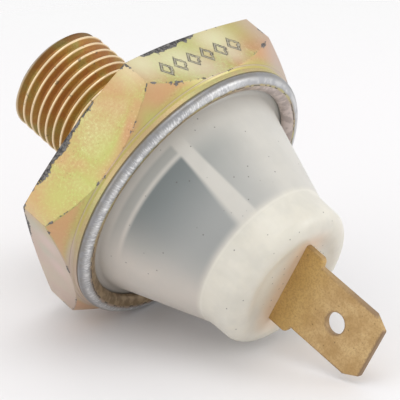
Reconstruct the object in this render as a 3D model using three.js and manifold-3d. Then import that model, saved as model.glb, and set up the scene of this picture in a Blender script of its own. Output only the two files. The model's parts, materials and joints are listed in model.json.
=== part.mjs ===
// Oil pressure switch with a single blade terminal.
// Millimetres. X runs along the axis: the thread points to -X and the terminal to +X.
// X = 0 is the hexagon face on the thread side. Z points out of a hexagon flat.
import * as THREE from "three";
import { mergeVertices } from "three/addons/utils/BufferGeometryUtils.js";
import Module from "manifold-3d";

const wasm = await Module();
wasm.setup();

// Hexagon, collar and crimp lip
const ACROSS_FLATS = 23.8;
const HEX_CORNER_EDGE = 2.96; // length of a corner edge before the chamfer starts
const CHAMFER_SLOPE = 0.936; // axial rise for each millimetre inwards
const BACK_CHAMFER = 0.4; // how far the corners are turned back on the thread side
const LEDGE_X = 4.62;
const COLLAR_R = 11.76;
const LIP_X = 6.0;
const LIP_INNER_R = 10.12;

// Threaded shank, 1/8 inch pipe size, 28 threads to the inch
const PITCH = 25.4 / 28;
const CREST_R = 4.66;
const ROOT_R = 4.1;
const SHANK_LENGTH = 11.0;
const NECK_LENGTH = 0.9;
const PORT_R = 1.6;

// Cup inside the hexagon
const CUP_R = 10.95;
const CUP_FLOOR_X = 1.8;
const CUP_ROOF_X = 5.2;

// Housing
const FLANGE_R = 10.85;
const FLANGE_X0 = 4.0;
const FLANGE_X1 = 5.15;
const CONE_R0 = 9.62;
const RIDGE_X = 13.8;
const RIDGE_R = 6.56;
const NOSE_R = 6.42;
const NOSE_X = 17.2;
const FACE_X = 16.95;
const WALL = 1.25;
const HOLLOW_X1 = 13.0;
const STEP_X = 6.9;
const BOSS_R = 4.3;
const BOSS_X0 = 5.6;
const BORE_R = 3.2;
const BORE_X1 = 13.25;
const RIB_WIDTH = 1.4;
const RIB_X0 = 6.0;

// Terminal, quarter inch blade type
const BLADE_TURN = 78.1; // degrees from Y towards Z
const BLADE_WIDTH = 5.9;
const BLADE_THICK = 0.6;
const BASE_WIDTH = 7.26;
const BASE_X1 = 18.9;
const BLADE_X1 = 26.05;
const TIP_IN = 0.75;
const TIP_BACK = 1.3;
const HOLE_X = 22.17;
const HOLE_R = 0.875;
const TAIL_WIDTH = 3.0;
const SLOT_X0 = 16.4;
const SLOT_PLAY = 0.06;

// Moving contact group
const DISC_R = 8.6;
const DISC_X0 = 3.9;
const DISC_THICK = 0.35;
const POINTS = 3;
const POINT_RING_R = 8.1;
const WIRE_R = 0.3;
const COIL_R = 2.35;
const COILS = 6.5;

const SEGMENTS = 48;

// ---------- helpers ----------

function toSolid(geometry) {
  const plain = new THREE.BufferGeometry();
  const loose = geometry.index ? geometry.toNonIndexed() : geometry;
  plain.setAttribute("position", loose.getAttribute("position"));
  const merged = mergeVertices(plain, 1e-4);
  const mesh = new wasm.Mesh({
    numProp: 3,
    vertProperties: merged.attributes.position.array,
    triVerts: new Uint32Array(merged.index.array),
  });
  return new wasm.Manifold(mesh);
}

function toGeometry(solid) {
  const mesh = solid.getMesh();
  const geometry = new THREE.BufferGeometry();
  geometry.setAttribute("position", new THREE.BufferAttribute(mesh.vertProperties, 3));
  geometry.setIndex(new THREE.BufferAttribute(mesh.triVerts, 1));
  geometry.computeVertexNormals();
  return geometry;
}

// Turns a profile of [x, r] points round the X axis. The profile runs towards +X on the outside.
function turned(profile, segments = SEGMENTS) {
  const points = profile.map(([x, r]) => new THREE.Vector2(r, x));
  return new THREE.LatheGeometry(points, segments).rotateZ(-Math.PI / 2);
}

// A flat outline of [x, s] points, given a thickness and turned about the X axis.
function plate(outline, thick, turn, holes = []) {
  const shape = new THREE.Shape(outline.map(([x, s]) => new THREE.Vector2(x, s)));
  for (const [x, s, r] of holes) {
    const hole = new THREE.Path();
    hole.absarc(x, s, r, 0, 2 * Math.PI, true);
    shape.holes.push(hole);
  }
  const options = { depth: thick, bevelEnabled: false, curveSegments: 14 };
  return new THREE.ExtrudeGeometry(shape, options)
    .translate(0, 0, -thick / 2)
    .rotateX(THREE.MathUtils.degToRad(turn));
}

function rectangle(x0, x1, width) {
  const half = width / 2;
  return [[x0, -half], [x1, -half], [x1, half], [x0, half]];
}

// Points of a quarter ellipse from [x0, r0] to [x1, r1], bulging towards larger x and larger r.
function rounded(x0, r0, x1, r1, steps) {
  const points = [];
  for (let i = 1; i <= steps; i++) {
    const a = ((Math.PI / 2) * i) / steps;
    points.push([x0 + (x1 - x0) * Math.sin(a), r1 + (r0 - r1) * Math.cos(a)]);
  }
  return points;
}

function coneRadius(x) {
  return CONE_R0 + ((RIDGE_R - CONE_R0) * (x - FLANGE_X1)) / (RIDGE_X - FLANGE_X1);
}

// ---------- steel body ----------

function hexagonBlock() {
  const corner = ACROSS_FLATS / 2 / Math.cos(Math.PI / 6);
  const shape = new THREE.Shape();
  for (let k = 0; k < 6; k++) {
    const a = (k * Math.PI) / 3;
    const y = corner * Math.cos(a);
    const z = corner * Math.sin(a);
    if (k === 0) shape.moveTo(-z, y);
    else shape.lineTo(-z, y);
  }
  shape.closePath();
  const prism = new THREE.ExtrudeGeometry(shape, { depth: LEDGE_X, bevelEnabled: false });
  prism.rotateY(Math.PI / 2);
  const backR = ACROSS_FLATS / 2 + 0.05;
  const backSlope = (corner - backR) / BACK_CHAMFER;
  const topR = corner - (LEDGE_X - HEX_CORNER_EDGE) / CHAMFER_SLOPE;
  const envelope = turned([
    [-0.2, 0],
    [-0.2, backR - 0.2 * backSlope],
    [BACK_CHAMFER + 0.3 / backSlope, corner + 0.3],
    [HEX_CORNER_EDGE - 0.3 * CHAMFER_SLOPE, corner + 0.3],
    [LEDGE_X + 0.4, topR - 0.4 / CHAMFER_SLOPE],
    [LEDGE_X + 0.4, 0],
  ], 96);
  return toSolid(prism).intersect(toSolid(envelope));
}

// A screw surface: rows run up the thread profile, columns run round it, and the seam is one
// pitch higher than where it started.
function screwBlank(x0, turns) {
  const columns = 36;
  const profile = [[0, ROOT_R], [0.12, ROOT_R], [0.46, CREST_R], [0.6, CREST_R]];
  const rows = profile.length * turns;
  const position = [];
  const at = (row, column) => {
    const turn = Math.floor(row / profile.length);
    const [part, r] = profile[row % profile.length];
    const a = (2 * Math.PI * column) / columns;
    const x = x0 + (turn + part + column / columns) * PITCH;
    return [x, r * Math.cos(a), r * Math.sin(a)];
  };
  const low = [x0, 0, 0];
  const high = [x0 + (turns + 1) * PITCH, 0, 0];
  const face = (a, b, c) => position.push(...a, ...b, ...c);
  for (let c = 0; c < columns; c++) {
    for (let row = 0; row < rows; row++) {
      const a = at(row, c);
      const b = at(row + 1, c);
      const d = at(row, c + 1);
      const e = at(row + 1, c + 1);
      face(a, e, b);
      face(a, d, e);
    }
    face(low, at(0, c + 1), at(0, c));
    face(high, at(rows, c), at(rows, c + 1));
  }
  for (let k = 0; k < profile.length; k++) {
    face(low, at(k, 0), at(k + 1, 0));
    face(high, at(rows + k + 1, 0), at(rows + k, 0));
  }
  const geometry = new THREE.BufferGeometry();
  geometry.setAttribute("position", new THREE.Float32BufferAttribute(position, 3));
  return geometry;
}

function shank() {
  const turns = 13;
  const blank = toSolid(screwBlank(-SHANK_LENGTH - 1.2 * PITCH, turns));
  const envelope = toSolid(turned([
    [-SHANK_LENGTH, 0],
    [-SHANK_LENGTH, ROOT_R + 0.05],
    [-SHANK_LENGTH + 0.45, CREST_R + 0.02],
    [-NECK_LENGTH - 0.5, CREST_R + 0.02],
    [-NECK_LENGTH, ROOT_R - 0.02],
    [-NECK_LENGTH, 0],
  ]));
  const neck = toSolid(turned([
    [-NECK_LENGTH - 0.4, 0],
    [-NECK_LENGTH - 0.4, ROOT_R - 0.08],
    [-0.5, ROOT_R - 0.08],
    [-0.2, ROOT_R + 0.12],
    [0, CREST_R + 0.15],
    [0.5, CREST_R + 0.15],
    [0.5, 0],
  ]));
  return blank.intersect(envelope).add(neck);
}

function crimpRing() {
  const lipMiddle = 11.0;
  return turned([
    [4.0, 10.6],
    [4.0, COLLAR_R],
    [5.3, COLLAR_R],
    ...rounded(5.3, COLLAR_R, LIP_X, lipMiddle, 5),
    [LIP_X - 0.06, 10.75],
    [LIP_X - 0.28, 10.35],
    [LIP_X - 0.5, LIP_INNER_R],
    [CUP_ROOF_X - 0.1, LIP_INNER_R],
    [CUP_ROOF_X - 0.1, 10.6],
    [4.0, 10.6],
  ], 96);
}

function bodyInside() {
  return turned([
    [-SHANK_LENGTH - 0.2, 0],
    [-SHANK_LENGTH - 0.2, PORT_R + 0.9],
    [-SHANK_LENGTH + 0.5, PORT_R],
    [CUP_FLOOR_X, PORT_R],
    [CUP_FLOOR_X, CUP_R],
    [CUP_ROOF_X, CUP_R],
    [CUP_ROOF_X, 9.9],
    [LIP_X + 0.5, 9.9],
    [LIP_X + 0.5, 0],
  ], 96);
}

function steelBody() {
  const solid = hexagonBlock()
    .add(toSolid(crimpRing()))
    .add(shank())
    .subtract(toSolid(bodyInside()));
  return toGeometry(solid);
}

// ---------- diaphragm stack ----------

function washer(x0, x1, inner, outer) {
  return turned([[x0, inner], [x0, outer], [x1, outer], [x1, inner], [x0, inner]]);
}

function diaphragm() {
  const x0 = 2.3;
  const thick = 0.22;
  const roll = [];
  for (let i = 0; i <= 6; i++) {
    const a = (Math.PI * i) / 6;
    roll.push([x0 + 0.55 * Math.sin(a), 5.9 - 1.2 * Math.cos(a)]);
  }
  const over = roll.map(([x, r]) => [x + thick, r]).reverse();
  return turned([[x0, 0], ...roll, [x0, 10.6], [x0 + thick, 10.6], ...over, [x0 + thick, 0]]);
}

// ---------- moving contact group ----------

function pressurePlate() {
  return turned([
    [2.56, 0], [2.56, 4.0], [2.66, 4.2], [2.96, 4.2], [3.06, 4.1], [3.06, 0],
  ]);
}

function plunger() {
  return turned([
    [3.1, 0], [3.1, 3.2], [3.84, 3.2], [3.84, 1.5], [5.0, 1.5], [5.3, 1.2], [5.3, 0],
  ], 48);
}

function contactDisc() {
  const x1 = DISC_X0 + DISC_THICK;
  return turned([
    [DISC_X0, 1.6],
    [DISC_X0, DISC_R - 0.1],
    [DISC_X0 + 0.1, DISC_R],
    [x1 - 0.1, DISC_R],
    [x1, DISC_R - 0.1],
    [x1, 1.6],
    [DISC_X0, 1.6],
  ]);
}

function contactPoint(k) {
  const a = (2 * Math.PI * k) / POINTS;
  return turned([
    [3.6, 0], [3.61, 0.2], [3.68, 0.33], [3.8, 0.4], [3.88, 0.4], [3.88, 0],
  ], 20).translate(0, POINT_RING_R * Math.cos(a), POINT_RING_R * Math.sin(a));
}

class SpringPath extends THREE.Curve {
  getPoint(t) {
    const x0 = DISC_X0 + DISC_THICK + WIRE_R + 0.05;
    const x1 = 12.5 - WIRE_R - 0.05;
    const deadShare = 0.11;
    const clamped = Math.min(Math.max((t - deadShare) / (1 - 2 * deadShare), 0), 1);
    const closed = 2 * WIRE_R * 0.9;
    const lowEnd = (Math.min(t / deadShare, 1) * closed);
    const highEnd = (Math.max((t - 1 + deadShare) / deadShare, 0) * closed);
    const x = x0 + lowEnd + highEnd + clamped * (x1 - x0 - 2 * closed);
    const a = 2 * Math.PI * COILS * t;
    return new THREE.Vector3(x, COIL_R * Math.cos(a), COIL_R * Math.sin(a));
  }
}

function spring() {
  const wire = new THREE.Shape();
  wire.absarc(0, 0, WIRE_R, 0, 2 * Math.PI, false);
  return new THREE.ExtrudeGeometry(wire, {
    steps: 110, curveSegments: 3, extrudePath: new SpringPath(),
  });
}

// ---------- terminal ----------

function terminalBlade() {
  const half = BLADE_WIDTH / 2;
  const base = BASE_WIDTH / 2;
  const tail = TAIL_WIDTH / 2;
  const right = [
    [BORE_X1 + 0.02, tail],
    [SLOT_X0 + 0.15, tail],
    [SLOT_X0 + 0.15, base - 0.4],
    [SLOT_X0 + 0.55, base],
    [BASE_X1 - 0.35, base],
    [BASE_X1 - 0.1, base - 0.1],
    [BASE_X1, half],
    [BLADE_X1 - TIP_BACK, half],
    [BLADE_X1, half - TIP_IN],
  ];
  const left = right.map(([x, s]) => [x, -s]);
  return plate([...left, ...right.reverse()], BLADE_THICK, BLADE_TURN, [[HOLE_X, 0, HOLE_R]]);
}

function springSeat() {
  return turned([
    [12.5, 0.85], [12.5, 2.85], [12.6, 2.95], [13.15, 2.95], [13.15, 0.85], [12.5, 0.85],
  ], 48);
}

function terminalRivet() {
  return turned([
    [12.05, 0], [12.1, 0.9], [12.25, 1.3], [12.48, 1.3], [12.48, 0.8], [13.2, 0.8], [13.2, 0],
  ], 32);
}

// ---------- housing ----------

function housingOutside() {
  return turned([
    [FLANGE_X0, 0],
    [FLANGE_X0, FLANGE_R],
    [FLANGE_X1 - 0.15, FLANGE_R],
    [FLANGE_X1, FLANGE_R - 0.15],
    [FLANGE_X1, CONE_R0 + 0.2],
    [FLANGE_X1 + 0.2, coneRadius(FLANGE_X1 + 0.2)],
    [RIDGE_X - 0.4, coneRadius(RIDGE_X - 0.4)],
    [RIDGE_X + 0.1, RIDGE_R - 0.04],
    [NOSE_X - 1.1, NOSE_R],
    ...rounded(NOSE_X - 1.1, NOSE_R, NOSE_X, NOSE_R - 1.35, 6),
    [FACE_X + 0.08, 4.4],
    [FACE_X, 3.9],
    [FACE_X, 0],
  ], 96);
}

// The hollow under the contact disc, and the ring of space between the wall and the boss.
function housingHollow() {
  return turned([
    [FLANGE_X0 - 0.5, 0],
    [FLANGE_X0 - 0.5, 9.0],
    [FLANGE_X1 + 0.1, 9.0],
    [FLANGE_X1 + 0.1, coneRadius(FLANGE_X1) - WALL],
    [STEP_X, coneRadius(STEP_X) - WALL],
    [STEP_X, coneRadius(STEP_X) - WALL - 0.25],
    [HOLLOW_X1 - 0.4, coneRadius(HOLLOW_X1 - 0.4) - WALL - 0.25],
    [HOLLOW_X1, coneRadius(HOLLOW_X1) - WALL - 0.6],
    [HOLLOW_X1, BOSS_R],
    [BOSS_X0, BOSS_R],
    [BOSS_X0, 0],
  ], 96);
}

function housing() {
  let ribs = null;
  for (const turn of [45, 135]) {
    const wide = toSolid(plate(rectangle(RIB_X0, HOLLOW_X1 + 0.5, 13.6), RIB_WIDTH, BLADE_TURN + turn));
    ribs = ribs ? ribs.add(wide) : wide;
  }
  const cone = toSolid(turned([
    [RIB_X0 - 0.2, 0],
    [RIB_X0 - 0.2, coneRadius(RIB_X0) - 0.4],
    [HOLLOW_X1 + 0.6, coneRadius(HOLLOW_X1) - 0.4],
    [HOLLOW_X1 + 0.6, 0],
  ]));
  const bore = toSolid(turned([
    [BOSS_X0 - 1, 0], [BOSS_X0 - 1, BORE_R], [BORE_X1, BORE_R], [BORE_X1, 0],
  ]));
  const play = 2 * SLOT_PLAY;
  const thick = BLADE_THICK + play;
  const tailSlot = toSolid(plate(rectangle(BORE_X1 - 0.5, FACE_X, TAIL_WIDTH + play), thick, BLADE_TURN));
  const baseSlot = toSolid(plate(rectangle(SLOT_X0, NOSE_X + 1, BASE_WIDTH + play), thick, BLADE_TURN));
  const solid = toSolid(housingOutside())
    .subtract(toSolid(housingHollow()))
    .add(ribs.intersect(cone))
    .subtract(bore)
    .subtract(tailSlot)
    .subtract(baseSlot);
  return toGeometry(solid);
}

// ---------- assembly ----------

const MATERIALS = {
  zinc: new THREE.MeshStandardMaterial({ color: 0xc9a24e, metalness: 0.7, roughness: 0.45 }),
  nylon: new THREE.MeshStandardMaterial({ color: 0xd6d2c6, roughness: 0.5 }),
  brass: new THREE.MeshStandardMaterial({ color: 0xb58a3a, metalness: 0.9, roughness: 0.4 }),
  steel: new THREE.MeshStandardMaterial({ color: 0x9a9a98, metalness: 0.9, roughness: 0.35 }),
  silver: new THREE.MeshStandardMaterial({ color: 0xd8d8d8, metalness: 1, roughness: 0.25 }),
  rubber: new THREE.MeshStandardMaterial({ color: 0x222222, roughness: 0.9 }),
  amber: new THREE.MeshStandardMaterial({ color: 0xb06a1c, roughness: 0.4 }),
};

const assembly = new THREE.Group();

function add(name, geometry, material) {
  const mesh = new THREE.Mesh(geometry, MATERIALS[material]);
  mesh.name = name;
  assembly.add(mesh);
}

add("hex_body", steelBody(), "zinc");
add("gasket", washer(1.85, 2.25, 5.2, 10.6), "rubber");
add("diaphragm", diaphragm(), "amber");
add("earth_ring", washer(2.6, 3.55, 7.55, 10.6), "steel");
add("pressure_plate", pressurePlate(), "steel");
add("plunger", plunger(), "nylon");
add("contact_disc", contactDisc(), "brass");
for (let k = 0; k < POINTS; k++) add(`contact_point_${k + 1}`, contactPoint(k), "silver");
add("spring", spring(), "steel");
add("spring_seat", springSeat(), "brass");
add("terminal_rivet", terminalRivet(), "brass");
add("terminal_blade", terminalBlade(), "brass");
add("housing", housing(), "nylon");
add("housing_seal", washer(3.6, 3.95, 9.2, 10.7), "rubber");

export default assembly;
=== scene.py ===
# %% [markdown]
# # Oil pressure switch
# The object is a small screw-in switch: a plated steel hexagon with a pipe thread, a
# translucent nylon housing held under a rolled steel lip, and a flat brass blade.
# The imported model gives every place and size. X runs along the axis, from the thread to
# the blade, and X = 0 is the hexagon face on the thread side. Sizes below are written in
# millimetres and turned into metres by one helper.

# %% Load the frame
import json
import math

import bpy
from mathutils import Matrix, Vector


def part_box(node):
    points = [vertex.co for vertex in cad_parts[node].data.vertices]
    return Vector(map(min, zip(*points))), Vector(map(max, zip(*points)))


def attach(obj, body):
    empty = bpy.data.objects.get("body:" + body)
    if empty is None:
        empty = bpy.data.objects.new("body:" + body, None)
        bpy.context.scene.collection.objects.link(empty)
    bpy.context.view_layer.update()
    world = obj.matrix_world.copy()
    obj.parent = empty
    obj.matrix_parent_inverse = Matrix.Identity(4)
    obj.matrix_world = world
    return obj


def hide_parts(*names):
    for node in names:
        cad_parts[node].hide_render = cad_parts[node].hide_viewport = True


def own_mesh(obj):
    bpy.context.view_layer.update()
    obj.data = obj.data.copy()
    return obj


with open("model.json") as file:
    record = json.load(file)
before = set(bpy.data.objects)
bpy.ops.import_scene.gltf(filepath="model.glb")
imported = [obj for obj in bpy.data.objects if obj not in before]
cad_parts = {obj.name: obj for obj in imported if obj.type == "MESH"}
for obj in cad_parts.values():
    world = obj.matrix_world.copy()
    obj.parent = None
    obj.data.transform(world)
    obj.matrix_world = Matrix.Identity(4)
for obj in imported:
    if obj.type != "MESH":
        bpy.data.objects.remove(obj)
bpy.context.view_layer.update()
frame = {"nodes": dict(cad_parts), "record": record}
nodes = frame["nodes"]


# %% Millimetres
def mm(value):
    return value * 0.001


print("one millimetre is", mm(1), "m")

# %% [markdown]
# ## Camera
# A long lens from well away, so the hexagon and the blade keep nearly the same scale. The
# camera looks from the blade side, a little above, and is rolled so that the axis runs
# from the upper left to the lower right.

# %% Camera
camera_data = bpy.data.cameras.new("camera")
camera_data.lens = 225.8
camera_data.sensor_width = 36.0
camera_data.clip_start = mm(5)
camera_data.clip_end = 20.0
camera = bpy.data.objects.new("camera", camera_data)
bpy.context.scene.collection.objects.link(camera)
right = Vector((0.67645, 0.68563, 0.26894))
up = Vector((-0.59412, 0.29219, 0.74943))
back = right.cross(up)
turn = Matrix((right, up, back)).transposed().to_4x4()
camera.matrix_world = Matrix.Translation(Vector((mm(93.348), mm(-132.983), mm(120.878)))) @ turn
bpy.context.scene.camera = camera
print("camera", tuple(round(v, 4) for v in camera.location))

# %% [markdown]
# ## Table, light and surroundings
# The switch lies on its crimped rim and on one corner of the blade, so the table is
# tilted by 23.5 degrees against the axis. The table is a pale disc that fades out at its
# edge. It is seen only from above: from underneath it lets the view through.

# %% Table frame
TILT = math.radians(23.5)
TABLE_RADIUS = 110
TABLE_DEPTH = 13.02
FADE_END = 104.0
FADE_START = 52.0
table_up = Vector((-math.sin(TILT), 0, math.cos(TILT)))
table_along = Vector((math.cos(TILT), 0, math.sin(TILT)))
table_foot = Vector((mm(8), 0, 0)) + table_up * (-mm(TABLE_DEPTH) - mm(8) * table_up.x)
table_turn = Matrix((table_along, Vector((0, 1, 0)), table_up)).transposed().to_4x4()


def leave_edit():
    if bpy.context.object and bpy.context.object.mode != "OBJECT":
        bpy.ops.object.mode_set(mode="OBJECT")
    bpy.ops.object.select_all(action="DESELECT")


leave_edit()
bpy.ops.mesh.primitive_circle_add(vertices=64, radius=mm(TABLE_RADIUS), fill_type="TRIFAN")
table = bpy.context.object
table.name = "table"
table.data.transform(Matrix.Translation(table_foot) @ table_turn)
print("table foot", [round(v * 1000, 2) for v in table_foot])


# %% Table material
def new_material(name):
    material = bpy.data.materials.new(name)
    material.use_nodes = True
    tree = material.node_tree
    tree.nodes.clear()
    return material, tree


def node(tree, kind, **settings):
    made = tree.nodes.new(kind)
    for key, value in settings.items():
        setattr(made, key, value)
    return made


def math_node(tree, operation, first, second=None):
    made = node(tree, "ShaderNodeMath", operation=operation)
    for socket, value in zip(made.inputs, (first, second)):
        if value is None:
            continue
        if isinstance(value, (int, float)):
            socket.default_value = value
        else:
            tree.links.new(value, socket)
    return made.outputs[0]


def times(tree, first, second):
    return math_node(tree, "MULTIPLY", first, second)


def plus(tree, first, second):
    return math_node(tree, "ADD", first, second)


def minus(tree, first, second):
    return math_node(tree, "SUBTRACT", first, second)


def larger(tree, first, second):
    return math_node(tree, "MAXIMUM", first, second)


def smaller(tree, first, second):
    return math_node(tree, "MINIMUM", first, second)


def size_of(tree, value):
    """The value without its sign."""
    return math_node(tree, "ABSOLUTE", value)


def step_between(tree, value, low, high):
    """0 below low, 1 above high, and smooth between. With low above high it falls instead."""
    made = node(tree, "ShaderNodeMapRange", interpolation_type="SMOOTHSTEP")
    tree.links.new(value, made.inputs["Value"])
    lo, hi, a, b = (low, high, 0.0, 1.0) if low < high else (high, low, 1.0, 0.0)
    made.inputs["From Min"].default_value = lo
    made.inputs["From Max"].default_value = hi
    made.inputs["To Min"].default_value = a
    made.inputs["To Max"].default_value = b
    return made.outputs["Result"]


def object_mm(tree):
    """Object coordinates in millimetres."""
    place = node(tree, "ShaderNodeTexCoord")
    scaled = node(tree, "ShaderNodeVectorMath", operation="SCALE")
    scaled.inputs["Scale"].default_value = 1000.0
    tree.links.new(place.outputs["Object"], scaled.inputs[0])
    return scaled.outputs[0]


table_material, tree = new_material("pale_table")
where = object_mm(tree)
away = node(tree, "ShaderNodeVectorMath", operation="DISTANCE")
tree.links.new(where, away.inputs[0])
away.inputs[1].default_value = [v * 1000 for v in table_foot]
fade = step_between(tree, away.outputs["Value"], FADE_END, FADE_START)
paper = node(tree, "ShaderNodeBsdfPrincipled")
paper.inputs["Base Color"].default_value = (0.83, 0.82, 0.83, 1)
paper.inputs["Roughness"].default_value = 0.6
clear = node(tree, "ShaderNodeBsdfTransparent")
facing = node(tree, "ShaderNodeNewGeometry")
solid_share = times(tree, fade, minus(tree, 1.0, facing.outputs["Backfacing"]))
mixed = node(tree, "ShaderNodeMixShader")
tree.links.new(solid_share, mixed.inputs[0])
tree.links.new(clear.outputs[0], mixed.inputs[1])
tree.links.new(paper.outputs[0], mixed.inputs[2])
out = node(tree, "ShaderNodeOutputMaterial")
tree.links.new(mixed.outputs[0], out.inputs["Surface"])
table.data.materials.append(table_material)
print("table material ready")

# %% Surroundings and lamps
world = bpy.data.worlds.new("studio")
bpy.context.scene.world = world
world.use_nodes = True
world.node_tree.nodes["Background"].inputs["Color"].default_value = (1.0, 1.0, 1.0, 1)
world.node_tree.nodes["Background"].inputs["Strength"].default_value = 0.95
bpy.context.scene.view_settings.view_transform = "Standard"


def softbox(name, direction, distance, size, watts, tint=(1, 1, 1)):
    lamp = bpy.data.lights.new(name, "AREA")
    lamp.shape = "DISK"
    lamp.size = mm(size)
    lamp.energy = watts
    lamp.color = tint
    held = bpy.data.objects.new(name, lamp)
    bpy.context.scene.collection.objects.link(held)
    aim = Vector((mm(7), 0, 0))
    toward = Vector(direction).normalized()
    held.location = aim + toward * mm(distance)
    held.rotation_euler = toward.to_track_quat("Z", "Y").to_euler()
    held.visible_camera = False


softbox("overhead", (-0.25, -0.05, 1.0), 420, 260, 0.35)
softbox("from_right", (0.85, 0.9, 0.75), 420, 200, 0.3)
softbox("low_left", (-0.52, -1.02, 0.17), 420, 280, 0.2, (1.0, 0.95, 0.90))

# %% [markdown]
# ## Turned pieces
# Most of this object is round. A turned piece is drawn as a lathe would cut it: one ring
# of points is placed round the axis, extruded to the next station, and scaled to that
# station's radius. A list of stations is then the whole drawing of the piece.


# %% Ring helper
def start_ring(name, x, r, count):
    leave_edit()
    bpy.ops.mesh.primitive_circle_add(
        vertices=count, radius=mm(r), location=(mm(x), 0, 0), rotation=(0, math.pi / 2, 0)
    )
    piece = bpy.context.object
    piece.name = name
    bpy.ops.object.transform_apply(location=True, rotation=True, scale=True)
    bpy.ops.object.mode_set(mode="EDIT")
    bpy.ops.mesh.select_all(action="SELECT")
    return piece


def grow_ring(x, r, x_now, r_now):
    bpy.ops.mesh.extrude_edges_move(TRANSFORM_OT_translate={"value": (mm(x - x_now), 0, 0)})
    share = r / r_now
    bpy.ops.transform.resize(value=(1, share, share), center_override=(mm(x), 0, 0))


def turned(name, stations, count=128, ends="capped"):
    """stations are (x, r) in mm. ends: capped makes a solid bar, joined makes a closed ring."""
    x_now, r_now = stations[0]
    piece = start_ring(name, x_now, r_now, count)
    if ends == "capped":
        bpy.ops.mesh.edge_face_add()
    for x, r in stations[1:]:
        grow_ring(x, r, x_now, r_now)
        x_now, r_now = x, r
    if ends == "capped":
        bpy.ops.mesh.edge_face_add()
    bpy.ops.mesh.select_all(action="SELECT")
    bpy.ops.mesh.remove_doubles(threshold=1e-7)
    bpy.ops.mesh.normals_make_consistent(inside=False)
    leave_edit()
    return piece


def arc(x0, r0, x1, r1, steps):
    """Stations of a quarter ellipse that leaves (x0, r0) along the axis and ends at (x1, r1)."""
    made = []
    for i in range(1, steps + 1):
        a = math.pi / 2 * i / steps
        made.append((x0 + (x1 - x0) * math.sin(a), r1 + (r0 - r1) * math.cos(a)))
    return made


def pick(piece):
    """Leaves edit mode and makes this the only selected piece."""
    leave_edit()
    piece.select_set(True)
    bpy.context.view_layer.objects.active = piece


def apply_modifier(piece, kind, **settings):
    pick(piece)
    made = piece.modifiers.new(kind.lower(), kind)
    for key, value in settings.items():
        setattr(made, key, value)
    bpy.ops.object.modifier_apply(modifier=made.name)


def cut(piece, tool, operation):
    apply_modifier(piece, "BOOLEAN", object=tool, operation=operation, solver="EXACT")
    bpy.data.objects.remove(tool)


def smooth(piece, degrees):
    pick(piece)
    bpy.ops.object.shade_smooth_by_angle(angle=math.radians(degrees))


def dress(piece, material):
    piece.data.materials.clear()
    piece.data.materials.append(material)


def ready(piece, body, slot, *stands_for):
    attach(piece, body)
    if stands_for:
        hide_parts(*stands_for)
    low = [round(min(v.co[i] for v in piece.data.vertices) * 1000, 2) for i in range(3)]
    high = [round(max(v.co[i] for v in piece.data.vertices) * 1000, 2) for i in range(3)]
    print(piece.name, len(piece.data.polygons), "faces", low, high)


print("helpers ready")

# %% [markdown]
# ## Hexagon
# The hexagon is bar stock whose corners were turned down by a conical chamfer, which
# leaves a curved line on each flat, deep on the blade side and slight on the thread side.
# A six-sided cylinder is crossed with a turned cone, and then every sharp edge gets a small
# round, as tumbling and plating leave it. The bevel throws a few points out where cone and
# corner meet, so they are drawn back to the corner's own distance from the axis. Last, a
# round cup is cut into the blade side, where the switch's moving contact has its travel.

# %% Hexagon
HALF_FLATS = 11.9
HEX_CORNER = HALF_FLATS / math.cos(math.pi / 6)
CHAMFER_START = 2.956
CHAMFER_SLOPE = 0.936
CHAMFER_END = 4.81
BACK_FLAT_R = 11.95
BACK_CHAMFER = 0.4
BACK_SLOPE = (HEX_CORNER - BACK_FLAT_R) / BACK_CHAMFER
HEX_EDGE_ROUND = 0.11
HEX_REACH = HEX_CORNER - 0.02
CUP_FLOOR = 1.8
CUP_R = 10.95

leave_edit()
bpy.ops.mesh.primitive_cylinder_add(
    vertices=6, radius=mm(HEX_CORNER), depth=mm(CHAMFER_END),
    location=(mm(CHAMFER_END / 2), 0, 0), rotation=(0, math.pi / 2, 0),
)
hexagon = bpy.context.object
hexagon.name = "plated_hexagon"
bpy.ops.object.transform_apply(location=True, rotation=True, scale=True)
chamfer_tool = turned("chamfer_tool", [
    (-0.2, BACK_FLAT_R - 0.2 * BACK_SLOPE),
    (BACK_CHAMFER + 0.3 / BACK_SLOPE, HEX_CORNER + 0.3),
    (CHAMFER_START - 0.3 * CHAMFER_SLOPE, HEX_CORNER + 0.3),
    (5.2, HEX_CORNER - (5.2 - CHAMFER_START) / CHAMFER_SLOPE),
], 192)
cut(hexagon, chamfer_tool, "INTERSECT")
apply_modifier(
    hexagon, "BEVEL", width=mm(HEX_EDGE_ROUND), segments=3, limit_method="ANGLE",
    angle_limit=math.radians(24), use_clamp_overlap=True,
)
for vertex in hexagon.data.vertices:
    reach = math.hypot(vertex.co.y, vertex.co.z)
    if reach > mm(HEX_REACH):
        vertex.co.y *= mm(HEX_REACH) / reach
        vertex.co.z *= mm(HEX_REACH) / reach
cut(hexagon, turned("cup_tool", [(CUP_FLOOR, CUP_R), (5.3, CUP_R)], 96), "DIFFERENCE")
smooth(hexagon, 40)
apply_modifier(hexagon, "WEIGHTED_NORMAL", keep_sharp=True)
ready(hexagon, "switch_body", "zinc_steel", "hex_body")

# %% [markdown]
# ## Threaded shank
# The thread is a true right-hand helix. One pitch of its profile is an edge lying along
# the axis, and the Screw modifier sweeps it round and along. A turned bar then trims the
# outside: it leaves a lead-in at the end and a plain neck under the hexagon.

# %% Thread profile
PITCH = 25.4 / 28
CREST = 4.66
ROOT = 4.10
THREAD_START = -12.4
PROFILE = [
    (0.00, 0.00), (0.10, 0.02), (0.19, 0.10), (0.40, 0.86), (0.46, 0.97),
    (0.53, 1.00), (0.60, 0.97), (0.66, 0.86), (0.87, 0.10), (0.95, 0.02), (1.00, 0.00),
]

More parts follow.
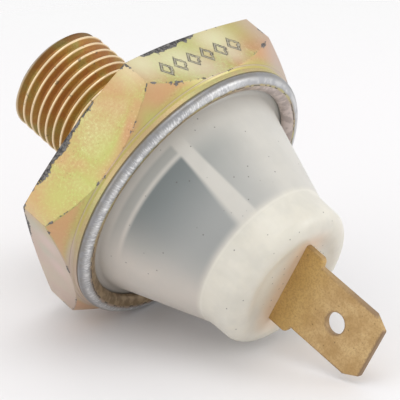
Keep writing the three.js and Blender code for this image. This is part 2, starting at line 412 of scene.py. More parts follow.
leave_edit()
bpy.ops.mesh.primitive_plane_add(size=mm(PITCH), location=(mm(THREAD_START + PITCH / 2), 0, 0))
shank = bpy.context.object
shank.name = "threaded_shank"
bpy.ops.object.transform_apply(location=True, rotation=True, scale=True)
bpy.ops.object.mode_set(mode="EDIT")
bpy.ops.mesh.select_all(action="DESELECT")
bpy.ops.object.mode_set(mode="OBJECT")
for vertex in shank.data.vertices:
    vertex.select = vertex.co.y < 0
bpy.ops.object.mode_set(mode="EDIT")
bpy.ops.mesh.delete(type="VERT")
bpy.ops.mesh.select_all(action="SELECT")
bpy.ops.mesh.subdivide(number_cuts=len(PROFILE) - 2)
leave_edit()
line = sorted(shank.data.vertices, key=lambda v: v.co.x)
for vertex, (part, height) in zip(line, PROFILE):
    vertex.co = (mm(THREAD_START + part * PITCH), mm(ROOT + height * (CREST - ROOT)), 0)
print("profile points:", len(line))

# %% Sweep and trim the thread
apply_modifier(
    shank, "SCREW", axis="X", screw_offset=mm(PITCH), iterations=16, steps=72,
    render_steps=72,
)
pick(shank)
bpy.ops.object.mode_set(mode="EDIT")
bpy.ops.mesh.select_all(action="SELECT")
bpy.ops.mesh.remove_doubles(threshold=mm(0.002))
for at, outer in ((-11.0, False), (0.3, True)):
    pick(shank)
    bpy.ops.object.mode_set(mode="EDIT")
    bpy.ops.mesh.select_all(action="SELECT")
    bpy.ops.mesh.bisect(
        plane_co=(mm(at), 0, 0), plane_no=(1, 0, 0), use_fill=True,
        clear_outer=outer, clear_inner=not outer, threshold=1e-7,
    )
    bpy.ops.mesh.select_all(action="SELECT")
    bpy.ops.mesh.normals_make_consistent(inside=False)
leave_edit()
lead_in = turned("lead_in", [
    (-11.5, 3.7), (-11.0, 4.12), (-10.55, CREST + 0.03), (-1.35, CREST + 0.03),
    (-0.8, 4.04), (-0.25, 4.04), (0.2, 4.04),
], 96)
cut(shank, lead_in, "INTERSECT")
port_tool = turned("port_tool", [(-11.4, 2.45), (-10.5, 1.6), (1.0, 1.6)], 64)
cut(shank, port_tool, "DIFFERENCE")
smooth(shank, 42)
ready(shank, "switch_body", "zinc_steel", "hex_body")

# %% [markdown]
# ## Crimped lip
# The hexagon's top carries a thin wall. It is rolled over the housing flange on a press,
# which gives a rounded bead, a fine crease at its foot and an inner edge that turns down.

# %% Crimped lip
lip = turned("crimped_lip", [
    (4.45, 11.2), (4.45, 11.76), (5.16, 11.76), (5.21, 11.70), (5.26, 11.70), (5.31, 11.75),
    *arc(5.36, 11.76, 6.0, 11.02, 7),
    (5.985, 10.85), (5.93, 10.66), (5.84, 10.48), (5.73, 10.33), (5.60, 10.20),
    (5.48, 10.13), (5.36, 10.12), (5.26, 10.16), (5.20, 10.26), (5.19, 10.6), (5.19, 11.2),
    (4.45, 11.2),
], 256, "joined")
smooth(lip, 50)
ready(lip, "switch_body", "zinc_steel", "hex_body")

# %% [markdown]
# ## Nylon housing
# A moulded cone with a flange under the lip and a short round nose. It is hollow up to the
# nose, so the stations start inside. Its outer edges are soft, so the stations are spaced
# closely wherever it turns.

# %% Housing
CONE_TOP = (5.15, 9.62)
RIDGE = (13.8, 6.56)
HOLLOW_END = 13.0
WALL = 1.25


def cone_radius(x):
    return CONE_TOP[1] + (RIDGE[1] - CONE_TOP[1]) * (x - CONE_TOP[0]) / (RIDGE[0] - CONE_TOP[0])


housing = turned("nylon_housing", [
    (HOLLOW_END, 1.2), (HOLLOW_END, cone_radius(HOLLOW_END) - WALL), (5.8, 8.1), (5.6, 8.9),
    (4.0, 9.0), (4.0, 10.7), (4.1, 10.85), (5.0, 10.85), (5.12, 10.8), (5.15, 10.6), (5.15, 10.1),
    (5.17, 9.85), (5.25, 9.70), (5.40, cone_radius(5.40)),
    *[(x, cone_radius(x)) for x in (7.0, 9.0, 11.0, 13.0, 13.4)],
    (13.65, cone_radius(13.65) - 0.01), (13.85, 6.53), (14.1, 6.49), (14.6, 6.45), (15.4, 6.42),
    *arc(16.0, 6.41, 17.2, 5.0, 9),
    (17.19, 4.8), (17.13, 4.5), (17.03, 4.15), (16.97, 3.9), (16.95, 3.6), (16.95, 1.2),
], 192)
smooth(housing, 60)
ready(housing, "switch_body", "nylon", "housing")

# %% [markdown]
# ## Blade terminal
# Stamped brass strip: a wide shoulder, a long tongue whose corners are clipped, and a
# small hole for the connector's catch. It starts as a block and its end face is extruded
# from one width to the next. Then it is turned to its real angle round the axis.

# %% Blade
BLADE_TURN = 78.1
BLADE_BASE = 7.26
BLADE_TONGUE = 5.9
BLADE_TIP = 4.4
BLADE_THICK = 0.6
BLADE_START = 16.6
SHOULDER_END = 18.76
TONGUE_START = 18.9
CLIP_START = 24.75
BLADE_END = 26.049
SHOULDER_ROUND = 0.32
BLADE_EDGE_ROUND = 0.12
HOLE_X = 22.17
HOLE_R = 0.875
leave_edit()
bpy.ops.mesh.primitive_cube_add(
    size=1.0, location=(mm((BLADE_START + SHOULDER_END) / 2), 0, 0),
    scale=(mm(SHOULDER_END - BLADE_START), mm(BLADE_BASE), mm(BLADE_THICK)),
)
blade = bpy.context.object
blade.name = "brass_blade"
bpy.ops.object.transform_apply(location=True, rotation=True, scale=True)


def select_end(piece, x):
    bpy.ops.object.mode_set(mode="OBJECT")
    for face in piece.data.polygons:
        face.select = face.normal.x > 0.9 and face.center.x > mm(x)
    bpy.ops.object.mode_set(mode="EDIT")
    bpy.ops.mesh.select_mode(type="FACE")


bpy.ops.object.mode_set(mode="EDIT")
bpy.ops.mesh.select_all(action="DESELECT")
select_end(blade, 18.0)
width = BLADE_BASE
x_from = SHOULDER_END
for x_to, new_width in ((TONGUE_START, BLADE_TONGUE), (CLIP_START, BLADE_TONGUE), (BLADE_END, BLADE_TIP)):
    bpy.ops.mesh.extrude_region_move(TRANSFORM_OT_translate={"value": (mm(x_to - x_from), 0, 0)})
    bpy.ops.transform.resize(value=(1, new_width / width, 1), center_override=(mm(x_to), 0, 0))
    width = new_width
    x_from = x_to
bpy.ops.mesh.select_mode(type="EDGE")
bpy.ops.mesh.select_all(action="DESELECT")
bpy.ops.object.mode_set(mode="OBJECT")
for edge in blade.data.edges:
    a, b = (blade.data.vertices[i].co for i in edge.vertices)
    upright = abs(a.x - b.x) < 1e-6 and abs(a.y - b.y) < 1e-6
    edge.select = upright and abs(abs(a.y) - mm(BLADE_BASE / 2)) < 1e-5 and a.x > mm(18)
bpy.ops.object.mode_set(mode="EDIT")
bpy.ops.mesh.bevel(offset=mm(SHOULDER_ROUND), segments=4, affect="EDGES")
leave_edit()
hole_tool = turned("hole_tool", [(-1.0, HOLE_R), (1.0, HOLE_R)], 48)
hole_tool.data.transform(Matrix.Translation((mm(HOLE_X), 0, 0)) @ Matrix.Rotation(math.pi / 2, 4, "Y"))
cut(blade, hole_tool, "DIFFERENCE")
pick(blade)
bpy.ops.object.mode_set(mode="EDIT")
bpy.ops.mesh.select_all(action="SELECT")
bpy.ops.mesh.dissolve_limited(angle_limit=math.radians(1))
leave_edit()
apply_modifier(
    blade, "BEVEL", width=mm(BLADE_EDGE_ROUND), segments=3, limit_method="ANGLE",
    angle_limit=math.radians(35),
)
pick(blade)
blade.rotation_euler = (math.radians(BLADE_TURN), 0, 0)
bpy.ops.object.transform_apply(location=True, rotation=True, scale=True)
smooth(blade, 40)
apply_modifier(blade, "WEIGHTED_NORMAL", keep_sharp=True)
ready(blade, "switch_body", "terminal_brass", "terminal_blade")

# %% [markdown]
# ## Return spring
# The spring is wound from round wire at an even pitch. A ring as thick as the wire is swept
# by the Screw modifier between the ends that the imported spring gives. It rests on the seat
# at the blade end and is pushed by the contact disc, so it shortens towards the seat as the
# plunger rises.

# %% Spring
COIL_R = 2.35
WIRE_R = 0.3
COILS = 6.5
SPRING_X0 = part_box("spring")[0][0] * 1000 + WIRE_R
SPRING_X1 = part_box("spring")[1][0] * 1000 - WIRE_R

leave_edit()
bpy.ops.mesh.primitive_circle_add(
    vertices=16, radius=mm(WIRE_R), fill_type="NOTHING", location=(0, mm(COIL_R), 0),
)
spring = bpy.context.object
spring.name = "wound_spring"
bpy.ops.object.transform_apply(location=True, rotation=True, scale=True)
apply_modifier(
    spring, "SCREW", axis="X", angle=2 * math.pi * COILS, screw_offset=mm(SPRING_X1 - SPRING_X0),
    iterations=1, steps=312, render_steps=312,
)
for vertex in spring.data.vertices:
    vertex.co.x += mm(SPRING_X0)
pick(spring)
bpy.ops.object.mode_set(mode="EDIT")
bpy.ops.mesh.select_all(action="SELECT")
bpy.ops.mesh.remove_doubles(threshold=mm(0.001))
bpy.ops.mesh.fill_holes(sides=0)
bpy.ops.mesh.normals_make_consistent(inside=False)
smooth(spring, 40)
ready(spring, "switch_body", "spring_steel", "spring")
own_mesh(spring)

# %% [markdown]
# ## Finishes
# Every finish is built from Object coordinates in millimetres, so a pattern has the same
# size on every piece and stays where it is when the view changes. Small helpers keep the
# node graphs short: noise, mixing of two colours, and the distance from the axis.


# %% Finish helpers
def noise(tree, vector, scale, detail=2.0, roughness=0.5, distortion=0.0):
    made = node(tree, "ShaderNodeTexNoise")
    tree.links.new(vector, made.inputs["Vector"])
    made.inputs["Scale"].default_value = scale
    made.inputs["Detail"].default_value = detail
    made.inputs["Roughness"].default_value = roughness
    made.inputs["Distortion"].default_value = distortion
    return made.outputs["Fac"]


def blend(tree, share, first, second):
    """A colour between first (share 0) and second (share 1)."""
    made = node(tree, "ShaderNodeMix", data_type="RGBA", blend_type="MIX")
    for socket, value in ((made.inputs[0], share), (made.inputs[6], first), (made.inputs[7], second)):
        if isinstance(value, (int, float)):
            socket.default_value = value
        elif isinstance(value, tuple):
            socket.default_value = (*value, 1)
        else:
            tree.links.new(value, socket)
    return made.outputs[2]


def ramp(tree, value, stops):
    made = node(tree, "ShaderNodeValToRGB")
    tree.links.new(value, made.inputs[0])
    band = made.color_ramp
    while len(band.elements) < len(stops):
        band.elements.new(1.0)
    for element, (place, colour) in zip(band.elements, stops):
        element.position = place
        element.color = (*colour, 1)
    return made.outputs["Color"]


def axes(tree, where):
    """x, y, z and the distance from the axis."""
    parts = node(tree, "ShaderNodeSeparateXYZ")
    tree.links.new(where, parts.inputs[0])
    x, y, z = parts.outputs
    squares = plus(tree, times(tree, y, y), times(tree, z, z))
    return x, y, z, math_node(tree, "SQRT", squares)


def spot(tree, where, centre, radius):
    """1 at the centre and 0 from the radius on."""
    away_from = node(tree, "ShaderNodeVectorMath", operation="DISTANCE")
    tree.links.new(where, away_from.inputs[0])
    away_from.inputs[1].default_value = centre
    return step_between(tree, away_from.outputs["Value"], radius, 0.0)


def specks(tree, where, scale, size, share):
    """Small round spots: size and spacing follow scale, and share says how many cells hold one."""
    cells = node(tree, "ShaderNodeTexVoronoi")
    tree.links.new(where, cells.inputs["Vector"])
    cells.inputs["Scale"].default_value = scale
    parts = node(tree, "ShaderNodeSeparateColor")
    tree.links.new(cells.outputs["Color"], parts.inputs[0])
    near = step_between(tree, cells.outputs["Distance"], size, size * 0.45)
    return times(tree, near, math_node(tree, "LESS_THAN", parts.outputs[0], share))


def surface(tree, colour, roughness, height=None, height_mm=0.01, **numbers):
    """The shader and the output. roughness may be a socket; numbers go on the shader itself."""
    shader = node(tree, "ShaderNodeBsdfPrincipled")
    tree.links.new(colour, shader.inputs["Base Color"])
    if isinstance(roughness, float):
        shader.inputs["Roughness"].default_value = roughness
    else:
        tree.links.new(roughness, shader.inputs["Roughness"])
    for label, value in numbers.items():
        socket = shader.inputs[label.replace("_", " ")]
        if isinstance(value, (int, float, tuple)):
            socket.default_value = value
        else:
            tree.links.new(value, socket)
    if height is not None:
        bump = node(tree, "ShaderNodeBump")
        bump.inputs["Distance"].default_value = mm(height_mm)
        bump.inputs["Strength"].default_value = 1.0
        tree.links.new(height, bump.inputs["Height"])
        tree.links.new(bump.outputs[0], shader.inputs["Normal"])
    made = node(tree, "ShaderNodeOutputMaterial")
    tree.links.new(shader.outputs[0], made.inputs["Surface"])


def between(tree, value, low, high):
    """A roughness that goes from low to high as value goes from 0 to 1."""
    made = node(tree, "ShaderNodeMapRange")
    tree.links.new(value, made.inputs["Value"])
    made.inputs["To Min"].default_value = low
    made.inputs["To Max"].default_value = high
    return made.outputs["Result"]


print("finish helpers ready")

# %% [markdown]
# ### Yellow zinc plating
# Zinc treated with chromate has no single colour. The film is so thin that it drifts
# through orange, gold and yellow-green in patches some millimetres wide, with a fine
# grain and tiny dark pits. Two noises and a scatter of spots carry these.

# %% Plating colour
ORANGE = (0.52, 0.30, 0.15)
GOLD = (0.52, 0.40, 0.16)
LIME = (0.45, 0.475, 0.14)
PALE = (0.72, 0.70, 0.45)
PINK = (0.55, 0.43, 0.36)
MAUVE = (0.48, 0.385, 0.345)


def plating(tree, where):
    drift = noise(tree, where, 0.19, 2.0, 0.5, 0.8)
    colour = ramp(tree, drift, [(0.36, ORANGE), (0.46, GOLD), (0.57, LIME), (0.70, (0.56, 0.53, 0.24))])
    grain = noise(tree, where, 4.5, 4.0, 0.85)
    grain_share = times(tree, step_between(tree, grain, 0.60, 0.40), 0.6)
    colour = blend(tree, grain_share, colour, (0.46, 0.27, 0.12))
    glint_share = times(tree, step_between(tree, grain, 0.56, 0.68), 0.45)
    colour = blend(tree, glint_share, colour, (0.72, 0.66, 0.42))
    pits = specks(tree, where, 2.8, 0.20, 0.35)
    colour = blend(tree, times(tree, pits, 0.5), colour, (0.16, 0.12, 0.05))
    return colour, grain


def tint_places(tree, where, colour, tint, share, places):
    """Blends tint in around each (centre, reach)."""
    for centre, reach in places:
        colour = blend(tree, times(tree, spot(tree, where, centre, reach), share), colour, tint)
    return colour


print("plating colours:", ORANGE, GOLD, LIME)

# %% [markdown]
# ### Hexagon finish
# The film is thickest on the chamfer's outer corners, where it looks orange. Along the
# sharp edges the plating has chipped off to dark steel, most of all on the edge that
# rests against the engine. The distance to each edge follows from the hexagon itself:
# of the three distances across the flats, the largest names the flat and the middle one
# says how near the corner is. A row of small diamond punch marks stands on the top flat.

# %% Hexagon distances
HEXAGON, tree = new_material("yellow_zinc_hexagon")
where = object_mm(tree)
x, y, z, r = axes(tree, where)
colour, grain = plating(tree, where)

half_z = times(tree, z, 0.5)
side_y = times(tree, y, math.cos(math.pi / 6))
flat_a = size_of(tree, z)
flat_b = size_of(tree, plus(tree, half_z, side_y))
flat_c = size_of(tree, minus(tree, half_z, side_y))
largest = larger(tree, flat_a, larger(tree, flat_b, flat_c))
smallest = smaller(tree, flat_a, smaller(tree, flat_b, flat_c))
total = plus(tree, flat_a, plus(tree, flat_b, flat_c))
middle = minus(tree, total, plus(tree, largest, smallest))
inside = minus(tree, HALF_FLATS, largest)
to_corner = plus(tree, minus(tree, HALF_FLATS, middle), inside)
back_cone = math_node(tree, "DIVIDE", minus(tree, r, BACK_FLAT_R), BACK_SLOPE)
back_edge = larger(tree, back_cone, 0.0)
to_back = plus(tree, minus(tree, x, back_edge), inside)
cone_x = minus(tree, CHAMFER_START + CHAMFER_SLOPE * HEX_CORNER, times(tree, r, CHAMFER_SLOPE))
to_arc = plus(tree, size_of(tree, minus(tree, cone_x, x)), inside)
on_chamfer = times(tree, step_between(tree, inside, 0.03, 0.12), step_between(tree, x, 1.5, 2.5))
print("hexagon distances:", len(tree.nodes), "nodes")

# %% Hexagon film
outer = times(tree, on_chamfer, step_between(tree, r, 11.9, 12.7))
colour = blend(tree, times(tree, outer, 0.85), colour, (0.60, 0.335, 0.17))
inner = times(tree, on_chamfer, step_between(tree, r, 12.4, 11.9))
colour = blend(tree, times(tree, inner, 0.75), colour, (0.50, 0.44, 0.13))
colour = tint_places(tree, where, colour, ORANGE, 0.65, [
    ((0.8, -7.6, 10.0), 4.6), ((0.5, -13.3, 0.8), 4.2), ((0.3, -11.0, 6.0), 1.6), ((1.6, 5.6, 11.9), 1.6),
])
colour = tint_places(tree, where, colour, LIME, 0.6, [
    ((3.4, -9.9, 6.6), 2.4), ((3.8, -11.2, 4.0), 2.0), ((2.4, -12.4, 2.0), 2.0), ((0.8, 4.8, 11.9), 2.8),
    ((0.9, -0.6, 11.9), 2.2), ((4.2, -7.2, 9.6), 1.7),
])
colour = tint_places(tree, where, colour, PALE, 0.8, [
    ((0.9, -5.6, 11.9), 3.2), ((2.0, -2.4, 11.9), 3.2), ((1.2, 2.2, 11.9), 3.2),
])
ROSY = (0.66, 0.55, 0.42)
colour = tint_places(tree, where, colour, ROSY, 0.6, [((3.6, -1.0, 11.9), 2.6), ((3.2, 2.4, 11.9), 1.8)])
low_side = larger(tree, step_between(tree, z, 1.2, -2.5), step_between(tree, y, 4.5, 7.5))
off_corner = step_between(tree, times(tree, outer, step_between(tree, y, 2.0, -2.0)), 0.6, 0.0)
low_side = times(tree, low_side, plus(tree, times(tree, off_corner, 0.7), 0.12))
blush = blend(tree, noise(tree, where, 0.30, 1.0), PINK, MAUVE)
colour = blend(tree, low_side, colour, blush)
SAGE = (0.42, 0.43, 0.32)
SALMON = (0.62, 0.45, 0.42)
colour = tint_places(tree, where, colour, SAGE, 0.6, [((1.2, -12.9, -1.6), 2.4), ((2.0, -11.2, -4.6), 1.8)])
colour = tint_places(tree, where, colour, SALMON, 0.6, [
    ((2.6, -12.2, -2.8), 2.2), ((3.0, -10.6, -5.6), 2.0),
])

# the fine crease where the chamfer meets the collar, darkened by painted shade
crease = step_between(tree, size_of(tree, minus(tree, x, 4.64)), 0.06, 0.02)
colour = blend(tree, times(tree, crease, 0.5), colour, (0.50, 0.38, 0.34))
print("hexagon film:", len(tree.nodes), "nodes")

# %% Chips
ragged = noise(tree, where, 3.6, 3.0, 0.65)
patch = noise(tree, where, 0.75, 2.0, 0.5)
rag = minus(tree, ragged, 0.5)
shallow = times(tree, minus(tree, patch, 0.55), 1.1)
shallow = plus(tree, shallow, times(tree, rag, 0.75))
worn_a = spot(tree, where, (0.0, -2.2, 11.9), 4.4)
worn_b = spot(tree, where, (0.0, -11.0, 5.0), 5.2)
worn_c = times(tree, spot(tree, where, (0.3, -12.3, -2.7), 4.6), 0.6)
worn = larger(tree, larger(tree, worn_a, worn_b), worn_c)
deep = plus(tree, shallow, times(tree, worn, 0.72))
chip_back = step_between(tree, minus(tree, deep, to_back), 0.0, 0.06)
near_edge = smaller(tree, to_corner, to_arc)
chip_edge = step_between(tree, minus(tree, shallow, near_edge), 0.0, 0.05)
chips = larger(tree, chip_back, chip_edge)
chip_colour = blend(tree, step_between(tree, ragged, 0.4, 0.65), (0.045, 0.042, 0.044), (0.20, 0.19, 0.18))
colour = blend(tree, chips, colour, chip_colour)
print("chips:", len(tree.nodes), "nodes")

# %% Punch marks
MARK_PITCH = 1.5
top_flat = step_between(tree, z, HALF_FLATS - 0.15, HALF_FLATS - 0.05)
along = math_node(tree, "DIVIDE", plus(tree, y, 4.95), MARK_PITCH)
in_cell = minus(tree, math_node(tree, "FRACT", along), 0.5)
wobble = times(tree, rag, 0.3)
off_y = size_of(tree, plus(tree, times(tree, in_cell, MARK_PITCH), wobble))
off_x = size_of(tree, times(tree, minus(tree, x, 2.4), 0.72))
from_mark = plus(tree, off_x, off_y)
off_ring = size_of(tree, minus(tree, plus(tree, from_mark, wobble), 0.50))
ring = step_between(tree, off_ring, 0.20, 0.12)
in_row = times(tree, step_between(tree, y, -4.96, -4.94), step_between(tree, y, 4.06, 4.04))
marks = times(tree, ring, times(tree, in_row, top_flat))
groove = step_between(tree, off_ring, 0.08, 0.03)
faint = plus(tree, times(tree, step_between(tree, ragged, 0.35, 0.55), 0.45), 0.45)
colour = blend(tree, times(tree, marks, faint), colour, (0.07, 0.06, 0.055))
bright = times(tree, times(tree, marks, groove), 0.75)
colour = blend(tree, bright, colour, (0.46, 0.43, 0.33))

height = minus(tree, times(tree, grain, 0.2), chips)
height = minus(tree, height, times(tree, marks, 2.0))
height = minus(tree, height, times(tree, crease, 0.7))
surface(
    tree, colour, between(tree, chips, 0.36, 0.55), height, 0.03,
    Metallic=0.40, Specular_IOR_Level=0.5,
)
dress(hexagon, HEXAGON)
print(HEXAGON.name, len(tree.nodes), "nodes")

# %% [markdown]
# ### Thread finish
# In the grooves the film is thick and brown; the crests are rubbed bright. The distance
# from the axis tells one from the other. A few crests are nicked dark.

# %% Thread finish
THREAD, tree = new_material("yellow_zinc_thread")
where = object_mm(tree)
x, y, z, r = axes(tree, where)
tone = noise(tree, where, 0.42, 2.0, 0.5, 0.5)
groove_colour = ramp(tree, tone, [
    (0.36, (0.40, 0.17, 0.040)), (0.50, (0.43, 0.24, 0.05)), (0.64, (0.36, 0.30, 0.08)),
])
grain = noise(tree, where, 9.0, 3.0, 0.6)
grain_share = times(tree, step_between(tree, grain, 0.62, 0.38), 0.45)
groove_colour = blend(tree, grain_share, groove_colour, (0.27, 0.12, 0.035))
near_hexagon = step_between(tree, x, -4.0, -1.0)
groove_colour = blend(tree, times(tree, near_hexagon, 0.5), groove_colour, (0.56, 0.38, 0.07))
crest = step_between(tree, r, 4.52, 4.65)
colour = blend(tree, crest, groove_colour, (0.84, 0.66, 0.42))
nick = step_between(tree, noise(tree, where, 1.5, 3.0, 0.6), 0.63, 0.67)
nick = times(tree, nick, step_between(tree, r, 4.40, 4.52))
end_face = step_between(tree, x, -10.2, -10.7)
dull = times(tree, larger(tree, nick, end_face), 0.6)
colour = blend(tree, dull, colour, (0.13, 0.095, 0.06))
surface(tree, colour, between(tree, crest, 0.42, 0.30), grain, 0.006, Metallic=0.5)
dress(shank, THREAD)
print(THREAD.name, len(tree.nodes), "nodes")

# %% [markdown]
# ### Lip finish
# The crimping tool rubbed the plating off the bead and left bare steel. A painted highlight
# makes the crown brightest and painted shade darkens its sides, and the short marks across
# it are painted bright only on the side towards the light. Inside, the film is brown on one
# side, darkened there by painted shade, and pinkish on the other, and it is cracked where
# the metal was bent. Painted shade darkens the crease at the foot of the bead.

# %% Lip finish
LIP, tree = new_material("crimped_steel")
where = object_mm(tree)
x, y, z, r = axes(tree, where)
film, grain = plating(tree, where)
film = blend(tree, 0.5, film, (0.46, 0.40, 0.20))
film = blend(tree, step_between(tree, z, 2.0, -5.0), film, (0.44, 0.33, 0.25))
turn_angle = times(tree, math_node(tree, "ARCTAN2", z, y), 11.4)
around = node(tree, "ShaderNodeCombineXYZ")
tree.links.new(turn_angle, around.inputs[0])
tree.links.new(times(tree, r, 0.30), around.inputs[1])
tree.links.new(times(tree, x, 0.30), around.inputs[2])
streak = noise(tree, around.outputs[0], 7.5, 2.0, 0.6)
mottle = noise(tree, where, 1.3, 3.0, 0.6)
# painted light: the bead is brightest on its crown as a highlight and darker on its sides as shade
off_crown = size_of(tree, minus(tree, r, 11.32))
painted_crown_highlight = step_between(tree, off_crown, 0.42, 0.05)
steel = blend(tree, painted_crown_highlight, (0.25, 0.24, 0.23), (0.60, 0.60, 0.60))
steel = blend(tree, times(tree, step_between(tree, mottle, 0.60, 0.40), 0.5), steel, (0.30, 0.305, 0.33))
# the tool marks are painted bright only on the side towards the light, as a highlight
hatched_highlight = times(tree, painted_crown_highlight, step_between(tree, y, 3.0, -3.0))
hatched_highlight = times(tree, hatched_highlight, step_between(tree, streak, 0.46, 0.64))
steel = blend(tree, times(tree, hatched_highlight, 0.75), steel, (0.90, 0.90, 0.90))
edge_wander = times(tree, minus(tree, mottle, 0.5), 0.35)
r_edge = plus(tree, r, edge_wander)
rubbed = times(tree, step_between(tree, x, 5.26, 5.33), step_between(tree, r_edge, 10.94, 11.14))
# the brown side is darker from painted shade as well as from film; the other side is pinkish
brown = blend(tree, step_between(tree, mottle, 0.42, 0.6), (0.24, 0.165, 0.09), (0.40, 0.29, 0.17))
rosy = blend(tree, step_between(tree, mottle, 0.42, 0.6), (0.40, 0.33, 0.30), (0.58, 0.49, 0.45))
inner_film_and_shade = blend(tree, step_between(tree, y, -1.0, 5.0), brown, rosy)
colour = blend(tree, step_between(tree, r, 11.0, 10.8), film, inner_film_and_shade)
colour = blend(tree, rubbed, colour, steel)
seam = size_of(tree, minus(tree, r_edge, 10.96))
cracked = times(tree, step_between(tree, seam, 0.09, 0.03), step_between(tree, mottle, 0.47, 0.55))
# painted shade in the crease at the foot of the bead; the cracks are real
painted_foot_shade = times(tree, step_between(tree, x, 5.16, 5.2), step_between(tree, x, 5.36, 5.28))
dark = larger(tree, times(tree, painted_foot_shade, 0.75), cracked)
colour = blend(tree, times(tree, dark, 0.85), colour, (0.06, 0.05, 0.045))
surface(
    tree, colour, between(tree, streak, 0.30, 0.42), streak, 0.006,
    Metallic=between(tree, rubbed, 0.35, 0.75),
)
dress(lip, LIP)
print(LIP.name, len(tree.nodes), "nodes")

# %% [markdown]
# ### Nylon
# Natural nylon lets light in: thick places such as the four ribs and the solid nose glow,
# and thin wall over an empty pocket looks darker and bluer. This is painted into the colour:
# the nose gets a lighter colour for its glow, and over each pocket the cone gets painted
# shade. The pockets lie between the ribs, which stand at 45 degrees to the blade. The painted
# shade of a pocket is darkest close to one rib and fades towards the next, as light entering
# from the open side would leave it. Painted shade also darkens the plastic under the lip, and
# a painted highlight runs along the ridge. Round the brass the plastic is warm.

# %% Nylon pockets
NYLON, tree = new_material("natural_nylon")
where = object_mm(tree)
x, y, z, r = axes(tree, where)


def beside(tree, y, z, degrees_turned):
    """Signed distance from the plane through the axis that stands at this angle."""
    a = math.radians(degrees_turned)
    first = times(tree, y, math.sin(a))
    second = times(tree, z, math.cos(a))
    return minus(tree, first, second)


def facing_to(tree, y, z, r, degrees_turned):
    """1 where the surface faces this angle, 0 a quarter turn away, -1 opposite."""
    a = math.radians(degrees_turned)
    first = times(tree, y, math.cos(a))
    second = times(tree, z, math.sin(a))
    return math_node(tree, "DIVIDE", plus(tree, first, second), r)


main_rib = beside(tree, y, z, BLADE_TURN + 45)
other_rib = beside(tree, y, z, BLADE_TURN - 45)
rib_gap = smaller(tree, size_of(tree, main_rib), size_of(tree, other_rib))
widen = step_between(tree, x, 6.5, 14.5)
past_rib = minus(tree, rib_gap, plus(tree, times(tree, widen, 0.2), 0.42))
one_side = step_between(tree, main_rib, 0.2, -0.2)
soft = plus(tree, times(tree, times(tree, widen, one_side), 0.5), 0.3)
off_rib = step_between(tree, math_node(tree, "DIVIDE", past_rib, soft), 0.0, 1.0)
sharp_top = times(tree, step_between(tree, x, 6.9, 7.25), one_side)
soft_top = times(tree, step_between(tree, x, 5.6, 8.6), minus(tree, 1.0, one_side))
pocket_top = plus(tree, sharp_top, soft_top)
pocket_x = times(tree, pocket_top, step_between(tree, x, 13.9, 13.1))
ledge_x = times(tree, step_between(tree, x, 5.8, 6.15), step_between(tree, x, 6.9, 6.6))
near_main = facing_to(tree, y, z, r, BLADE_TURN + 62)
shade_depth = plus(tree, times(tree, one_side, 0.28), 0.64)
shade = times(tree, step_between(tree, near_main, 0.55, 1.0), shade_depth)
far_rib = facing_to(tree, y, z, r, BLADE_TURN - 118)
far_shade = times(tree, step_between(tree, far_rib, 0.58, 0.97), 0.92)
shade = larger(tree, shade, far_shade)
ledge = times(tree, ledge_x, times(tree, one_side, 0.45))
# where the painted shade of the pockets falls
painted_pocket_shade = times(tree, larger(tree, pocket_x, ledge), off_rib)
painted_pocket_shade = times(tree, painted_pocket_shade, shade)
print("pockets:", len(tree.nodes), "nodes")

# %% Nylon finish
cloud = noise(tree, where, 0.45, 3.0, 0.55)
drawn = node(tree, "ShaderNodeMapping")
tree.links.new(where, drawn.inputs["Vector"])
drawn.inputs["Scale"].default_value = (0.5, 1.0, 1.0)
flow = noise(tree, drawn.outputs[0], 0.8, 3.0, 0.6)
cone_colour = blend(tree, step_between(tree, z, -3.0, 6.0), (0.55, 0.505, 0.455), (0.58, 0.56, 0.515))
nose_colour = blend(tree, step_between(tree, flow, 0.30, 0.70), (0.67, 0.64, 0.56), (0.70, 0.67, 0.59))
body = blend(tree, step_between(tree, x, 13.3, 13.95), cone_colour, nose_colour)
body = blend(tree, times(tree, step_between(tree, cloud, 0.4, 0.65), 0.22), body, (0.46, 0.45, 0.42))
# painted shade on the plastic just under the rolled lip
shade_under_lip = step_between(tree, x, 6.9, 5.3)
body = blend(tree, times(tree, shade_under_lip, 0.35), body, (0.42, 0.40, 0.36))
# the colour of the painted pocket shade, darker near the flange and lighter towards the nose
painted_hollow_shade = blend(tree, step_between(tree, x, 7.0, 12.5), (0.14, 0.165, 0.168), (0.31, 0.32, 0.315))
colour = blend(tree, painted_pocket_shade, body, painted_hollow_shade)
# a painted highlight along the ridge where the nose begins
ridge_highlight = step_between(tree, size_of(tree, minus(tree, x, 13.82)), 0.14, 0.04)
colour = blend(tree, times(tree, ridge_highlight, 0.25), colour, (0.78, 0.75, 0.68))
from_blade = size_of(tree, beside(tree, y, z, BLADE_TURN))
warm = times(tree, step_between(tree, from_blade, 3.0, 0.3), step_between(tree, r, 5.6, 3.4))
warm = times(tree, warm, step_between(tree, x, 15.6, 16.9))
colour = blend(tree, times(tree, warm, 0.6), colour, (0.74, 0.50, 0.32))
dirt = specks(tree, where, 1.6, 0.14, 0.26)
colour = blend(tree, times(tree, dirt, 0.7), colour, (0.12, 0.11, 0.10))
fine = noise(tree, where, 5.0, 2.0, 0.5)
surface(
    tree, colour, between(tree, fine, 0.32, 0.44), fine, 0.004,
    Subsurface_Weight=0.5, Subsurface_Radius=(1.0, 0.95, 0.85), Subsurface_Scale=mm(0.35),
    IOR=1.53,
)
dress(housing, NYLON)
print(NYLON.name, len(tree.nodes), "nodes")

# %% [markdown]
# ### Brass
# The blade has aged: honey brown with mottled clouds, a fine stamped grain and tiny
# spots. It is golden at its foot, where no connector rubs it, and brown along the
# sheared edges. Round the hole the same darkening is painted shade of a slight dimple.

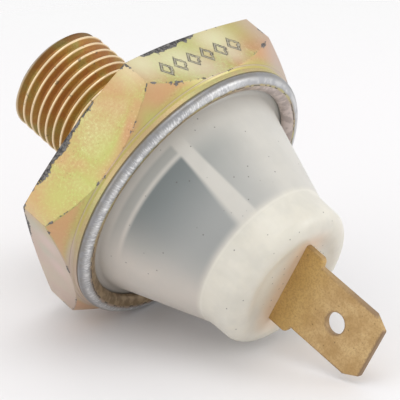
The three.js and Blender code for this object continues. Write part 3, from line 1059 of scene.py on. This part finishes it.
# %% Brass finish
BRASS, tree = new_material("aged_brass")
where = object_mm(tree)
x, y, z, r = axes(tree, where)
clouds = noise(tree, where, 0.6, 4.0, 0.6, 0.4)
colour = ramp(tree, clouds, [
    (0.34, (0.42, 0.265, 0.105)), (0.50, (0.50, 0.335, 0.15)), (0.66, (0.58, 0.41, 0.20)),
])
foot_gold = times(tree, step_between(tree, x, 21.5, 17.8), 0.75)
colour = blend(tree, foot_gold, colour, (0.58, 0.37, 0.11))
grain = noise(tree, where, 6.0, 3.0, 0.7)
colour = blend(tree, times(tree, step_between(tree, grain, 0.6, 0.35), 0.45), colour, (0.30, 0.18, 0.07))
side = facing_to(tree, y, z, r, BLADE_TURN)
aside = size_of(tree, times(tree, side, r))
half_width = plus(
    tree, BLADE_TONGUE / 2,
    times(tree, step_between(tree, x, 18.92, 18.86), (BLADE_BASE - BLADE_TONGUE) / 2),
)
to_side = minus(tree, half_width, aside)
to_tip = minus(tree, BLADE_END, x)
along = minus(tree, x, HOLE_X)
hole_squares = plus(tree, times(tree, along, along), times(tree, aside, aside))
to_hole = minus(tree, math_node(tree, "SQRT", hole_squares), HOLE_R)
to_edge = smaller(tree, smaller(tree, to_side, to_tip), to_hole)
# darker along the sheared edges as tarnish, and round the hole as painted shade of a dimple
ragged = times(tree, minus(tree, grain, 0.5), 0.25)
edge_depth = plus(tree, times(tree, step_between(tree, x, 20.0, 25.0), 0.5), 0.4)
edge_tarnish_and_hole_shade = times(tree, step_between(tree, plus(tree, to_edge, ragged), 0.24, 0.03), edge_depth)
colour = blend(tree, edge_tarnish_and_hole_shade, colour, (0.25, 0.16, 0.09))
dots = specks(tree, where, 1.8, 0.17, 0.35)
colour = blend(tree, times(tree, dots, 0.55), colour, (0.12, 0.075, 0.03))
surface(tree, colour, between(tree, grain, 0.40, 0.54), grain, 0.006, Metallic=0.45)
dress(blade, BRASS)
print(BRASS.name, len(tree.nodes), "nodes")

# %% [markdown]
# ### Hidden pieces
# Apart from the spring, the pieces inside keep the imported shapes. Each kind gets a finish
# of its own, with a grain that suits how it is made: rolled, drawn, moulded or cut from
# sheet.


# %% Hidden finishes
def simple_finish(name, light, dark_tone, scale, roughness, metallic):
    material, tree = new_material(name)
    where = object_mm(tree)
    wear = noise(tree, where, scale, 3.0, 0.6)
    fine_grain = noise(tree, where, scale * 6.0, 2.0, 0.5)
    mixed_tone = blend(tree, wear, dark_tone, light)
    surface(
        tree, mixed_tone, between(tree, fine_grain, roughness - 0.08, roughness + 0.08),
        fine_grain, 0.006, Metallic=metallic,
    )
    return material


finishes = {}
for slot, name, light, dark_tone, scale, roughness, metallic in (
    ("seal_rubber", "black_rubber", (0.035, 0.035, 0.035), (0.015, 0.015, 0.015), 1.2, 0.75, 0.0),
    ("film", "amber_film", (0.60, 0.30, 0.05), (0.38, 0.16, 0.02), 0.6, 0.32, 0.0),
    ("bare_steel", "bare_steel", (0.62, 0.62, 0.61), (0.38, 0.38, 0.38), 1.0, 0.34, 0.95),
    ("insulator", "moulded_insulator", (0.70, 0.66, 0.52), (0.55, 0.50, 0.38), 0.8, 0.5, 0.0),
    ("contact_brass", "stamped_brass", (0.72, 0.50, 0.18), (0.50, 0.32, 0.10), 1.0, 0.36, 0.9),
    ("contact_silver", "contact_silver", (0.88, 0.88, 0.86), (0.66, 0.65, 0.62), 2.0, 0.28, 1.0),
    ("spring_steel", "drawn_spring_wire", (0.50, 0.49, 0.47), (0.25, 0.24, 0.23), 2.0, 0.30, 0.95),
):
    finishes[slot] = simple_finish(name, light, dark_tone, scale, roughness, metallic)
slot_of = {entry["node"]: entry["material_slot"] for entry in frame["record"]["subparts"]}
for name, cad_node in nodes.items():
    if slot_of[name] in finishes:
        dress(cad_node, finishes[slot_of[name]])
        print(name, "gets", finishes[slot_of[name]].name)
dress(spring, finishes["spring_steel"])
